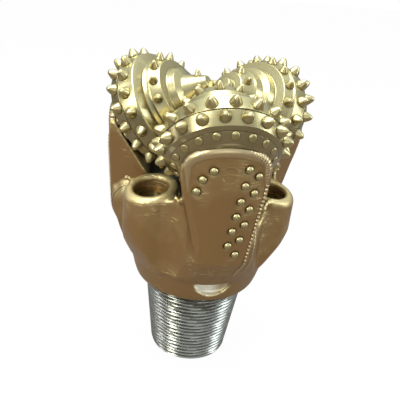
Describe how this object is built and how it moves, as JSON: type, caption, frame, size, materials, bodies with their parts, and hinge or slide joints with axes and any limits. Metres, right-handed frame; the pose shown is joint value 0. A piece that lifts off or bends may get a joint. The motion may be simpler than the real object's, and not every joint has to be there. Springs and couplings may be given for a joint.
{
  "type": "tricone drill bit",
  "caption": "Rotary rock bit with three free-turning toothed cones on inclined journals, fluid jets between the legs and a tapered threaded pin.",
  "frame": {"origin": "centre of the water course at the end of the pin", "axes": "+Z along the bit axis from the pin to the cones, -Y towards leg 1"},
  "size_m": [0.2204, 0.2113, 0.3504],
  "materials": {
    "painted_gold": "satin champagne gold paint",
    "carbide": "sintered carbide under the gold paint",
    "bearing_steel": "ground",
    "bearing_bronze": "machined",
    "packing_rubber": "moulded",
    "jet_carbide": "sintered, dark"
  },
  "bodies": {
    "body": {"ball_plug_1": "bearing_steel", "ball_plug_2": "bearing_steel", "ball_plug_3": "bearing_steel", "jet_nozzle_1": "jet_carbide", "jet_nozzle_2": "jet_carbide", "jet_nozzle_3": "jet_carbide", "leg_1": "painted_gold", "leg_2": "painted_gold", "leg_3": "painted_gold", "leg_buttons_1": "carbide", "leg_buttons_2": "carbide", "leg_buttons_3": "carbide", "nozzle_boss_1": "painted_gold", "nozzle_boss_2": "painted_gold", "nozzle_boss_3": "painted_gold", "nozzle_packing_1": "packing_rubber", "nozzle_packing_2": "packing_rubber", "nozzle_packing_3": "packing_rubber", "nozzle_retainer_1": "bearing_steel", "nozzle_retainer_2": "bearing_steel", "nozzle_retainer_3": "bearing_steel", "reservoir_cap_1": "painted_gold", "reservoir_cap_2": "painted_gold", "reservoir_cap_3": "painted_gold", "reservoir_diaphragm_1": "packing_rubber", "reservoir_diaphragm_2": "packing_rubber", "reservoir_diaphragm_3": "packing_rubber", "retaining_balls_1": "bearing_steel", "retaining_balls_2": "bearing_steel", "retaining_balls_3": "bearing_steel"},
    "cone_1_assembly": {"cone_1": "painted_gold", "cone_seal_1": "packing_rubber", "gauge_compacts_1": "carbide", "heel_row_inserts_1": "carbide", "journal_bushing_1": "bearing_bronze", "second_row_inserts_1": "carbide", "third_row_inserts_1": "carbide", "thrust_washer_1": "bearing_bronze"},
    "cone_2_assembly": {"cone_2": "painted_gold", "cone_seal_2": "packing_rubber", "gauge_compacts_2": "carbide", "heel_row_inserts_2": "carbide", "inner_row_inserts_2": "carbide", "journal_bushing_2": "bearing_bronze", "second_row_inserts_2": "carbide", "third_row_inserts_2": "carbide", "thrust_washer_2": "bearing_bronze"},
    "cone_3_assembly": {"cone_3": "painted_gold", "cone_seal_3": "packing_rubber", "gauge_compacts_3": "carbide", "heel_row_inserts_3": "carbide", "journal_bushing_3": "bearing_bronze", "nose_inserts_3": "carbide", "second_row_inserts_3": "carbide", "third_row_inserts_3": "carbide", "thrust_washer_3": "bearing_bronze"}
  },
  "joints": [
    {"name": "cone_1_spin", "type": "hinge", "parent": "body", "child": "cone_1_assembly", "pos_m": [0, 0, 0.3347], "axis": [0, -0.809, -0.5878], "continuous": true},
    {"name": "cone_2_spin", "type": "hinge", "parent": "body", "child": "cone_2_assembly", "pos_m": [0, 0, 0.3347], "axis": [0.7006, 0.4045, -0.5878], "continuous": true},
    {"name": "cone_3_spin", "type": "hinge", "parent": "body", "child": "cone_3_assembly", "pos_m": [0, 0, 0.3347], "axis": [-0.7006, 0.4045, -0.5878], "continuous": true}
  ]
}
